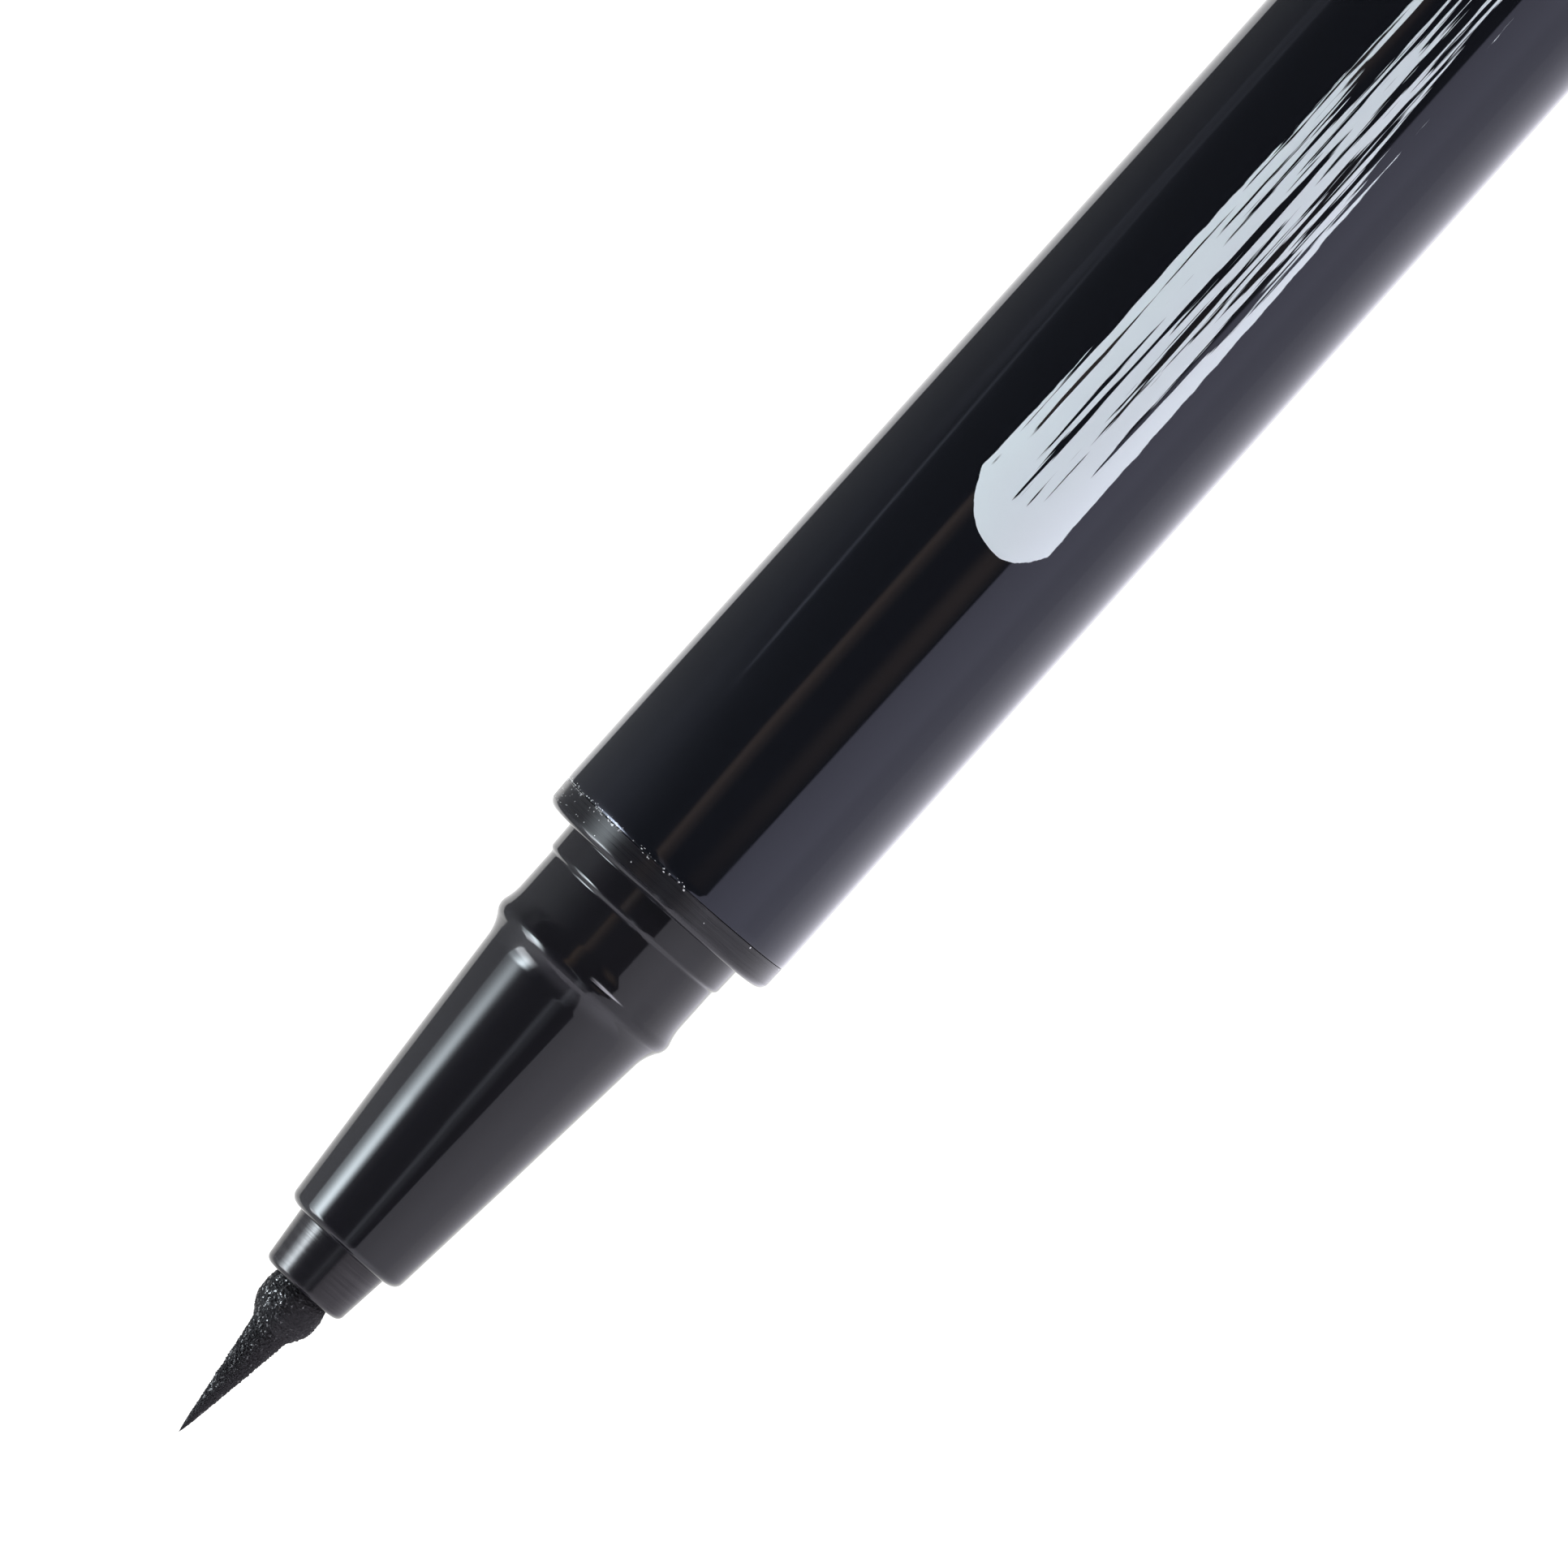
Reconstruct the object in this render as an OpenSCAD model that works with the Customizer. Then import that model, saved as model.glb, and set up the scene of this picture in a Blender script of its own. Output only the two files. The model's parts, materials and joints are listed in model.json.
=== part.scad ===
// Double-ended brush pen: a brush under one cap, a fine felt tip under the other.
// It lies along X on the plane z = 0 with the brush towards -X. All sizes are in millimetres.
// Each end has its own stations, s: the distance from that end's tip back towards the barrel.

/* [Barrel] */
// Outside diameter of the barrel and of both caps
barrel_d = 10.6; // [10.4:0.1:11.4]
// Length of the barrel between the two collars
barrel_length = 68; // [64:1:90]
// Wall thickness of the barrel
barrel_wall = 0.6; // [0.4:0.05:0.65]
// Radius of the barrel's outer end edges
barrel_edge = 0.15; // [0.05:0.05:0.3]

/* [Front sections] */
// Diameter of the collar that meets the barrel
collar_d = 10.5; // [10:0.1:10.6]
// Length of the collar
collar_length = 1.15; // [1:0.05:2]
// Radius of the collar's front edge
collar_edge = 0.4; // [0.1:0.05:0.6]
// Diameter of the land just ahead of the collar
land_d = 8.26; // [8.1:0.02:8.3]
// Diameter of the neck behind the snap ridge
neck_d = 7.86; // [7.7:0.02:7.9]
// Diameter of the snap ridge
ridge_d = 8.1; // [8:0.02:8.12]
// Diameter of the cone where it meets the ridge
cone_base_d = 7.36; // [7.2:0.02:7.5]
// Diameter of the cone's nose
cone_nose_d = 5.26; // [5:0.02:5.4]
// Radius of the nose's edge
nose_edge = 0.43; // [0.1:0.01:0.5]
// Length from the cone's nose to the collar
grip_length = 17.2; // [16.5:0.1:18]
// Distance from the collar forward to the top of the snap ridge
ridge_setback = 3.68; // [3.3:0.02:4]
// Radius of the snap ridge's crest
ridge_round = 1.4; // [1.2:0.1:1.6]
// Length of the spigot inside the barrel at the brush end
brush_spigot = 10.45; // [8:0.05:14]
// Length of the spigot inside the barrel at the felt end
felt_spigot = 5; // [4:0.5:8]

/* [Nib holders] */
// Length of the brush's nib holder that shows
holder_reach = 2.25; // [1:0.05:2.5]
// Diameter of the brush's nib holder at its mouth
holder_mouth_d = 3.64; // [3.4:0.02:3.9]
// Diameter of both nib holders in the cone
holder_d = 4; // [3.9:0.02:4.1]
// Diameter of the felt's nib holder at its mouth
felt_mouth_d = 1.7; // [1.5:0.05:2.5]

/* [Nibs] */
// Length of brush that shows
brush_reach = 6.95; // [6.75:0.05:8]
// Length of the brush's slender point
brush_point = 5; // [3:0.1:5]
// Diameter of the slender point at its root
brush_root_d = 1.62; // [1:0.02:2]
// Diameter of the brush's swollen base
brush_bulb_d = 2.58; // [2.5:0.02:2.8]
// Diameter of the brush inside its holder
brush_stem_d = 2.48; // [2.2:0.02:2.5]
// Length of felt tip that shows
felt_reach = 2.4; // [1:0.1:4]
// Diameter of the felt nib
felt_nib_d = 1.1; // [0.8:0.05:1.2]

/* [Ink] */
// Diameter of the mixing ball
ball_d = 4; // [3:0.1:4.5]
// Number of fins on the collector
collector_fins = 18; // [8:1:24]
// Diameter of the feed wick
wick_d = 1.5; // [1:0.05:1.6]

/* [Caps] */
// Length of each cap
cap_length = 36; // [36:0.5:42]
// Wall thickness of the cap's shell
cap_wall = 0.56; // [0.45:0.01:0.58]
// Radius of the closed end's edge
cap_edge = 0.9; // [0.3:0.1:1]
// Gap between the brush's tip and the mouth of its cap, which lies in line ahead of it
cap_gap = 12; // [4:1:30]

/* [Hidden] */
$fn = 96;

fit = 0.02;
running = 0.05;
barrel_r = barrel_d / 2;
barrel_bore = barrel_r - barrel_wall;

// Stations that both ends share
holder_s = brush_reach;
nose_s = holder_s + holder_reach;
collar_s = nose_s + grip_length;
seat_s = collar_s + collar_length;
ridge_s = collar_s - ridge_setback;
ridge_centre = ridge_d / 2 - ridge_round;
ridge_rise = acos((cone_base_d / 2 - ridge_centre) / ridge_round);
ridge_fall = acos((neck_d / 2 - ridge_centre) / ridge_round);
cone_end_s = ridge_s - ridge_round * sin(ridge_rise);
land_length = 0.95;
land_draft = 0.09;
land_s = collar_s - land_length;
ramp_s = land_s - 0.5;
collar_draft = 0.03;

// Bores of the front sections, from the nose back
holder_bore = holder_d / 2 + fit;
flange_s = nose_s + 6.8;
flange_r = 2.5;
flange_length = 1.2;
wide_s = nose_s + 11.8;
wide_bore = 3.1;
tail_r = 1.5;
brush_spigot_r = 3.95;
felt_spigot_r = barrel_bore - fit;

// Ink tank and what is in it
tank_r = barrel_bore - running;
tank_bore = brush_spigot_r + fit;
tank_end_s = 64;
tank_wall = 1;
seal_s = seat_s + 7.5;
seal_wire = 0.5;
seal_r = tank_bore - fit - seal_wire / 2;
collector_s = wide_s + 0.3;
collector_flange_s = seat_s + brush_spigot + fit;
collector_flange = 1;
wick_end_s = collector_flange_s + 3;
wick_start_s = holder_s + 2.6;
stem_end_s = holder_s + 5.6;
ball_s = 52;

// Parts of the felt end
partition_s = tank_end_s + 0.3;
partition_length = 2.5;
film = 0.15;
reservoir_r = barrel_bore - film - 0.15;
felt_nib_length = 38;
felt_tip_r = 0.25;
felt_tip_taper = 1.2;

// Caps, in the stations of a cap that is on
rim_s = collar_s - running;
closed_s = rim_s - cap_length;
shell_bore = barrel_r - cap_wall;
cap_end_length = 1.1;
plug_length = 3;
liner_rim_s = rim_s - 0.4;
liner_r = shell_bore - fit;
mouth_bore = 4.2;
bead_bore = ridge_d / 2 + running;
bead_s = ramp_s - 0.75;
pocket_r = 4;
pocket_bore = 3.4;
pocket_step_s = nose_s + 7;
lip_s = nose_s + 5;
lip_length = 0.8;
liner_end_s = -2;
liner_end = 0.9;
rib_width = 0.8;
rib_root = 0.2;

// Places along X, with the box of the whole object centred on x = 0
cap_travel = collar_s + cap_gap;
felt_tip_s = 2 * seat_s + barrel_length;
brush_tip_x = (cap_travel - felt_tip_s) / 2;
felt_tip_x = brush_tip_x + felt_tip_s;

function arc(centre_r, centre_s, radius, from, to, steps = 6) =
    [for (i = [0:steps])
        let (a = from + (to - from) * i / steps)
        [centre_r + radius * cos(a), centre_s + radius * sin(a)]];

// Radius of the front section's cone at station s
function cone_r(s) =
    let (start_s = nose_s + nose_edge)
    cone_nose_d / 2 + (cone_base_d - cone_nose_d) / 2 * (s - start_s) / (cone_end_s - start_s);

// Puts what is drawn along Z, with the tip at 0, on the brush end
module on_brush_end(slid = 0) {
    translate([brush_tip_x - slid, 0, barrel_r])
        rotate([0, 90, 0])
            children();
}

// The same for the felt end, which points the other way
module on_felt_end() {
    translate([felt_tip_x, 0, barrel_r])
        rotate([0, -90, 0])
            children();
}

module turned(outline) {
    rotate_extrude()
        polygon(outline);
}

// A ring or tube from station a to station b
module tube(a, b, outer, inner) {
    turned([[inner, a], [outer, a], [outer, b], [inner, b]]);
}

// A solid rod from station a to station b
module rod(a, b, radius) {
    translate([0, 0, a])
        cylinder(h = b - a, r = radius);
}

// Nose, cone, snap ridge, neck, land, collar and spigot in one moulding
module front_section(spigot_length, spigot_r) {
    collar_front_r = collar_d / 2 - collar_draft;
    end_s = seat_s + spigot_length;
    turned(concat(
        [[holder_bore, nose_s]],
        arc(cone_nose_d / 2 - nose_edge, nose_s + nose_edge, nose_edge, -90, 0),
        arc(ridge_centre, ridge_s, ridge_round, -ridge_rise, ridge_fall, 10),
        [[neck_d / 2, ramp_s], [land_d / 2 - land_draft, land_s], [land_d / 2, collar_s]],
        arc(collar_front_r - collar_edge, collar_s + collar_edge, collar_edge, -90, 0),
        [[collar_d / 2, seat_s], [spigot_r, seat_s], [spigot_r, end_s]],
        [[wide_bore, end_s], [wide_bore, wide_s], [flange_r + fit, wide_s]],
        [[flange_r + fit, flange_s], [holder_bore, flange_s]]
    ));
}

// Outside of a nib holder behind the nose, shared by both ends
function holder_back(bore, end_s) = [
    [holder_d / 2, nose_s],
    [holder_d / 2, flange_s + fit],
    [flange_r, flange_s + fit],
    [flange_r, flange_s + flange_length],
    [tail_r, flange_s + flange_length],
    [tail_r, end_s],
    [bore, end_s],
];

module barrel() {
    far_s = seat_s + barrel_length - fit;
    near_s = seat_s + fit;
    color("#16181f")
        on_brush_end()
            turned(concat(
                [[barrel_bore, near_s]],
                arc(barrel_r - barrel_edge, near_s + barrel_edge, barrel_edge, -90, 0, 4),
                arc(barrel_r - barrel_edge, far_s - barrel_edge, barrel_edge, 0, 90, 4),
                [[barrel_bore, far_s]]
            ));
}

module brush_front_section() {
    color("#1c1c1e")
        on_brush_end()
            difference() {
                front_section(brush_spigot, brush_spigot_r);
                seal_groove();
            }
}

module felt_front_section() {
    color("#1c1c1e")
        on_felt_end()
            front_section(felt_spigot, felt_spigot_r);
}

// Groove in the spigot that holds the seal
module seal_groove() {
    half_width = seal_wire / 2 + running;
    tube(seal_s - half_width, seal_s + half_width,
        brush_spigot_r + seal_wire, seal_r - seal_wire / 2 - fit);
}

module brush_nib_holder() {
    bore = brush_stem_d / 2 + fit;
    wick_bore = wick_d / 2 + running;
    mouth_edge = 0.3;
    color("#202022")
        on_brush_end()
            turned(concat(
                [[bore, holder_s]],
                arc(holder_mouth_d / 2 - mouth_edge, holder_s + mouth_edge, mouth_edge, -90, 0),
                holder_back(wick_bore, wide_s),
                [[wick_bore, stem_end_s + fit], [bore, stem_end_s + fit]]
            ));
}

// Slender point, swollen base and the stem in the holder, with a socket for the wick
module brush_nib() {
    steps = 12;
    root_r = brush_root_d / 2;
    bulb_r = brush_bulb_d / 2;
    stem_r = brush_stem_d / 2;
    swell = 1.2;
    socket_r = wick_d / 2 + fit;
    color("#19191a")
        on_brush_end()
            turned(concat(
                [for (i = [0:steps])
                    [root_r * pow(i / steps, 0.88), brush_point * i / steps]],
                [for (i = [1:6])
                    [root_r + (bulb_r - root_r) * sin(15 * i), brush_point + swell * i / 6]],
                [[bulb_r, holder_s - 0.5], [stem_r, holder_s - 0.2], [stem_r, stem_end_s]],
                [[socket_r, stem_end_s], [socket_r, wick_start_s - fit], [0, wick_start_s - fit]]
            ));
}

module feed_wick() {
    color("#d8d4c8")
        on_brush_end()
            rod(wick_start_s, wick_end_s, wick_d / 2);
}

// Comb of thin fins on a hollow core, with one long slot that feeds them
module ink_collector() {
    fin_r = wide_bore - running;
    comb_end_s = collector_flange_s - 0.6;
    slot_width = 0.4;
    slot_depth = 0.2;
    pitch = (comb_end_s - collector_s) / (collector_fins - 0.5);
    wick_bore = wick_d / 2 + running;
    color("#e6e6e2")
        on_brush_end()
            difference() {
                union() {
                    tube(collector_s, collector_flange_s + collector_flange, tail_r, wick_bore);
                    for (i = [0:collector_fins - 1])
                        tube(collector_s + i * pitch, collector_s + (i + 0.5) * pitch, fin_r, wick_bore);
                    tube(collector_flange_s, collector_flange_s + collector_flange,
                        tank_bore - running, wick_bore);
                }
                translate([tail_r - slot_depth, -slot_width / 2, collector_s - 1])
                    cube([fin_r, slot_width, comb_end_s - collector_s + 1]);
            }
}

// Inner tube, open towards the brush and closed at the other end
module ink_tank() {
    color("#cfd2d6")
        on_brush_end()
            turned([
                [tank_bore, seat_s + running],
                [tank_r, seat_s + running],
                [tank_r, tank_end_s],
                [0, tank_end_s],
                [0, tank_end_s - tank_wall],
                [tank_bore, tank_end_s - tank_wall],
            ]);
}

module tank_seal() {
    color("#303030")
        on_brush_end()
            translate([0, 0, seal_s])
                rotate_extrude()
                    translate([seal_r, 0])
                        circle(d = seal_wire);
}

// The ball lies on the floor of the tank
module mixing_ball() {
    drop = tank_bore - ball_d / 2 - running;
    color("silver")
        translate([brush_tip_x + ball_s, 0, barrel_r - drop])
            sphere(d = ball_d);
}

module partition_plug() {
    recess = 1.2;
    wall = 0.8;
    plug_r = barrel_bore - fit;
    color("#dcdcdc")
        on_brush_end()
            turned([
                [0, partition_s],
                [plug_r, partition_s],
                [plug_r, partition_s + partition_length],
                [plug_r - wall, partition_s + partition_length],
                [plug_r - wall, partition_s + partition_length - recess],
                [0, partition_s + partition_length - recess],
            ]);
}

module felt_nib_holder() {
    bore = felt_nib_d / 2 + fit;
    color("#202022")
        on_felt_end()
            turned(concat(
                [[bore, felt_reach], [felt_mouth_d / 2, felt_reach]],
                holder_back(bore, wide_s)
            ));
}

module felt_nib() {
    nib_r = felt_nib_d / 2;
    color("#19191a")
        on_felt_end()
            turned(concat(
                [[0, 0]],
                arc(0, felt_tip_r, felt_tip_r, -60, 0, 4),
                [[nib_r, felt_tip_taper], [nib_r, felt_nib_length], [0, felt_nib_length]]
            ));
}

// Stations of the reservoir, from the felt end
function reservoir_start() = seat_s + felt_spigot + 0.3;
function reservoir_end() = felt_tip_s - partition_s - partition_length - 0.3;

module felt_reservoir() {
    socket_r = felt_nib_d / 2 + fit;
    color("#3a3a3c")
        on_felt_end()
            turned([
                [socket_r, reservoir_start()],
                [reservoir_r, reservoir_start()],
                [reservoir_r, reservoir_end()],
                [0, reservoir_end()],
                [0, felt_nib_length + fit],
                [socket_r, felt_nib_length + fit],
            ]);
}

module reservoir_film() {
    color("#e8e8ee")
        on_felt_end()
            tube(reservoir_start(), reservoir_end(), reservoir_r + fit + film, reservoir_r + fit);
}

module cap_shell() {
    mouth_edge = 0.1;
    turned(concat(
        [[shell_bore, rim_s]],
        [[shell_bore, closed_s + cap_end_length]],
        [[barrel_r, closed_s + cap_end_length]],
        arc(barrel_r - mouth_edge, rim_s - mouth_edge, mouth_edge, 0, 90, 3)
    ));
}

// Snap bead at the mouth, a sealing lip on the cone, and a closed pocket round the nib
module cap_liner() {
    lip_bore = cone_r(lip_s + lip_length) + running;
    turned([
        [liner_r, liner_rim_s],
        [liner_r, pocket_step_s],
        [pocket_r, pocket_step_s - 1],
        [pocket_r, liner_end_s - liner_end],
        [0, liner_end_s - liner_end],
        [0, liner_end_s],
        [pocket_bore, liner_end_s],
        [pocket_bore, lip_s - 0.4],
        [lip_bore, lip_s],
        [lip_bore, lip_s + lip_length],
        [mouth_bore - 0.3, pocket_step_s + 0.6],
        [mouth_bore, pocket_step_s + 1.4],
        [mouth_bore, bead_s - 0.35],
        [bead_bore, bead_s],
        [mouth_bore, bead_s + 0.35],
        [mouth_bore, liner_rim_s],
    ]);
    for (turn = [45:90:315])
        rotate([0, 0, turn])
            translate([pocket_r - rib_root, -rib_width / 2, liner_end_s])
                cube([liner_r - fit - pocket_r + rib_root, rib_width, pocket_step_s - liner_end_s]);
}

// Closed end of a cap: a disc with a rounded edge and a plug inside the shell
module cap_end() {
    wall = 0.8;
    plug_r = shell_bore - fit;
    disc_s = closed_s + cap_end_length - fit;
    plug_s = closed_s + cap_end_length + plug_length;
    turned(concat(
        [[0, closed_s]],
        arc(barrel_r - cap_edge, closed_s + cap_edge, cap_edge, -90, 0),
        [[barrel_r, disc_s], [plug_r, disc_s], [plug_r, plug_s], [plug_r - wall, plug_s]],
        [[plug_r - wall, disc_s], [0, disc_s]]
    ));
}

module brush_cap_shell() {
    color("#16181f")
        on_brush_end(cap_travel)
            cap_shell();
}

module brush_cap_liner() {
    color("#c8c8c8")
        on_brush_end(cap_travel)
            cap_liner();
}

module brush_cap_end() {
    color("#16181f")
        on_brush_end(cap_travel)
            cap_end();
}

module felt_cap_shell() {
    color("#16181f")
        on_felt_end()
            cap_shell();
}

module felt_cap_liner() {
    color("#c8c8c8")
        on_felt_end()
            cap_liner();
}

module felt_cap_end() {
    color("#16181f")
        on_felt_end()
            cap_end();
}

barrel();
brush_front_section();
brush_nib_holder();
brush_nib();
feed_wick();
ink_collector();
ink_tank();
tank_seal();
mixing_ball();
partition_plug();
felt_front_section();
felt_nib_holder();
felt_nib();
felt_reservoir();
reservoir_film();
brush_cap_shell();
brush_cap_liner();
brush_cap_end();
felt_cap_shell();
felt_cap_liner();
felt_cap_end();
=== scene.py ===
"""Looks of a double-ended brush pen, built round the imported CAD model."""

import json
import math

import bpy
import numpy as np
from mathutils import Matrix, Vector, noise


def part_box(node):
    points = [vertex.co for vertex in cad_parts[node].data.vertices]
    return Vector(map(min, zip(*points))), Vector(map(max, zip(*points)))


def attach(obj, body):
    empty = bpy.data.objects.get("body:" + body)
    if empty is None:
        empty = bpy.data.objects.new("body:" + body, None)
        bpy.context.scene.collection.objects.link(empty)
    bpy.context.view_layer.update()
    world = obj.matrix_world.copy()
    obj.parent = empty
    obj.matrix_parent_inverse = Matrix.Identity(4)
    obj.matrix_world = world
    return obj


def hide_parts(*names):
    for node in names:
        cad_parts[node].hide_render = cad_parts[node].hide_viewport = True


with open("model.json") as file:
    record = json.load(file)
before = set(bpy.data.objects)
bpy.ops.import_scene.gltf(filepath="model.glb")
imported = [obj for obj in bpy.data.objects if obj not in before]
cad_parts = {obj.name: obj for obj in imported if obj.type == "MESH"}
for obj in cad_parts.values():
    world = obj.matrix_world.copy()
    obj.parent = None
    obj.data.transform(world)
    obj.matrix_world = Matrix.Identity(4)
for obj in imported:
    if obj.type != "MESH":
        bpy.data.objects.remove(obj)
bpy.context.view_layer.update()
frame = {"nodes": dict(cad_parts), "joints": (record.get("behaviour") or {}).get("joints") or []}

MM = 0.001

# ---------------------------------------------------------------- places, from the frame

barrel_low, barrel_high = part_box("barrel")
AXIS_Z = (barrel_low.z + barrel_high.z) / 2
BARREL_R = (barrel_high.z - barrel_low.z) / 2 / MM
BRUSH_TIP_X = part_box("brush_nib")[0].x
FELT_TIP_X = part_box("felt_nib")[1].x
CAP_SLID = frame["joints"][0]["range_m"][1] / MM

# Names in _S are stations, in millimetres from a tip back towards the barrel, and names in _R
# are radii in millimetres
HOLDER_S = (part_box("brush_nib_holder")[0].x - BRUSH_TIP_X) / MM
HOLDER_END_S = (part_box("brush_nib_holder")[1].x - BRUSH_TIP_X) / MM
NIB_END_S = (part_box("brush_nib")[1].x - BRUSH_TIP_X) / MM
NOSE_S = (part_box("brush_front_section")[0].x - BRUSH_TIP_X) / MM
BRUSH_SPIGOT_S = (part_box("brush_front_section")[1].x - BRUSH_TIP_X) / MM
FELT_SPIGOT_S = (FELT_TIP_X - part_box("felt_front_section")[0].x) / MM
FELT_HOLDER_S = (FELT_TIP_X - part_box("felt_nib_holder")[1].x) / MM
FELT_NIB_END_S = (FELT_TIP_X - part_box("felt_nib")[0].x) / MM
BARREL_S = (barrel_low.x - BRUSH_TIP_X) / MM
BARREL_END_S = (barrel_high.x - BRUSH_TIP_X) / MM
RIM_S = (FELT_TIP_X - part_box("felt_cap_shell")[0].x) / MM
CLOSED_S = (FELT_TIP_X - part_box("felt_cap_end")[1].x) / MM
SHELL_END_S = (FELT_TIP_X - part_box("felt_cap_shell")[1].x) / MM

# The collar stands ahead of the barrel's mouth, and the snap ridge's crest ahead of the collar
COLLAR_LONG = 1.15
RIDGE_AHEAD = 3.98
COLLAR_S = BARREL_S - COLLAR_LONG
RIDGE_S = COLLAR_S - RIDGE_AHEAD


# ---------------------------------------------------------------- turned shapes

def new_piece(name, verts, faces, materials):
    """A mesh object in the scene."""
    mesh = bpy.data.meshes.new(name)
    mesh.from_pydata(verts, [], faces)
    for material in materials:
        mesh.materials.append(material)
    piece = bpy.data.objects.new(name, mesh)
    bpy.context.scene.collection.objects.link(piece)
    return piece


def rounded(corners, closed=True, steps=7):
    """An outline's segments from corners of (station, radius, fillet).

    Each segment is (start, end, normal at start, normal at end), and each fillet is an arc that
    is tangent to both its neighbours, so that long straight faces keep one clean normal.
    """
    points = [np.array(c[:2], float) for c in corners]
    count = len(points)
    ends = []
    for i, corner in enumerate(corners):
        here = points[i]
        before = points[i - 1] - here
        after = points[(i + 1) % count] - here
        fillet = corner[2] if len(corner) > 2 else 0
        if fillet == 0 or (not closed and i in (0, count - 1)):
            ends.append(here)
            continue
        before, after = before / np.linalg.norm(before), after / np.linalg.norm(after)
        half = math.acos(np.clip(before @ after, -1, 1)) / 2
        reach = fillet / math.tan(half)
        centre = here + (before + after) / np.linalg.norm(before + after) * fillet / math.sin(half)
        first, last = here + before * reach, here + after * reach
        ends.append((centre, first, last))
    segments = []
    cursor = None

    def straight(a, b):
        along = (b - a) / np.linalg.norm(b - a)
        out = np.array([-along[1], along[0]])
        segments.append((a, b, out, out))

    for end in ends:
        if isinstance(end, tuple):
            centre, first, last = end
            if cursor is not None:
                straight(cursor, first)
            spans = arc_points(centre, first, last, steps)
            for a, b in zip(spans, spans[1:]):
                normals = [(p - centre) / np.linalg.norm(p - centre) for p in (a, b)]
                chord = b - a
                facing = np.array([-chord[1], chord[0]])
                flip = 1 if facing @ normals[0] > 0 else -1
                segments.append((a, b, normals[0] * flip, normals[1] * flip))
            cursor = last
        else:
            if cursor is not None:
                straight(cursor, end)
            cursor = end
    if closed:
        straight(cursor, segments[0][0])
    return segments


def arc_points(centre, first, last, steps):
    """Points on the short arc round centre from first to last."""
    a = math.atan2(*(first - centre)[::-1])
    b = math.atan2(*(last - centre)[::-1])
    turn = (b - a + math.pi) % (2 * math.pi) - math.pi
    radius = np.linalg.norm(first - centre)
    angles = [a + turn * i / steps for i in range(steps + 1)]
    return [centre + radius * np.array([math.cos(t), math.sin(t)]) for t in angles]


def lathe(name, segments, end="brush", slid=0.0, sides=256, materials=(), bands=()):
    """Turns an outline into a solid about the pen's axis, with exact normals.

    Radius 0 is a point on the axis. bands gives (station from, station to, material index).
    """
    sign, start = (1, BRUSH_TIP_X) if end == "brush" else (-1, FELT_TIP_X)
    angles = np.arange(sides) * 2 * math.pi / sides
    ring_y, ring_z = np.cos(angles), np.sin(angles)
    points = [s[0] for s in segments]
    is_open = np.linalg.norm(segments[-1][1] - segments[0][0]) > 1e-9
    if is_open:
        points.append(segments[-1][1])
    verts, rings = [], []
    for station, radius in points:
        x = start + sign * (station - slid) * MM
        if radius < 1e-9:
            rings.append([len(verts)])
            verts.append((x, 0.0, AXIS_Z))
            continue
        rings.append(range(len(verts), len(verts) + sides))
        verts.extend(zip([x] * sides, radius * MM * ring_y, AXIS_Z + radius * MM * ring_z))
    faces, normals, kinds = [], [], []
    for i, (a, b, normal_a, normal_b) in enumerate(segments):
        near, far = rings[i], rings[(i + 1) % len(rings)]
        middle = (a[0] + b[0]) / 2
        kind = next((k for lo, hi, k in bands if lo <= middle <= hi and normal_a[1] > -0.5), 0)
        if len(near) == 1 and len(far) == 1:
            continue
        for j in range(sides):
            k = (j + 1) % sides
            corners = [(near, j, normal_a), (near, k, normal_a), (far, k, normal_b), (far, j, normal_b)]
            if len(near) == 1:
                corners = [corners[0], corners[2], corners[3]]
            elif len(far) == 1:
                corners = corners[:3]
            if sign < 0:
                corners = corners[::-1]
            faces.append([ring[at] if len(ring) > 1 else ring[0] for ring, at, _ in corners])
            kinds.append(kind)
            for _, at, normal in corners:
                normals.append((sign * normal[0], normal[1] * ring_y[at], normal[1] * ring_z[at]))
    piece = new_piece(name, verts, faces, materials)
    piece.data.polygons.foreach_set("material_index", kinds)
    piece.data.polygons.foreach_set("use_smooth", [True] * len(faces))
    piece.data.normals_split_custom_set(normals)
    piece.data.update()
    return piece


# ---------------------------------------------------------------- materials

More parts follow.
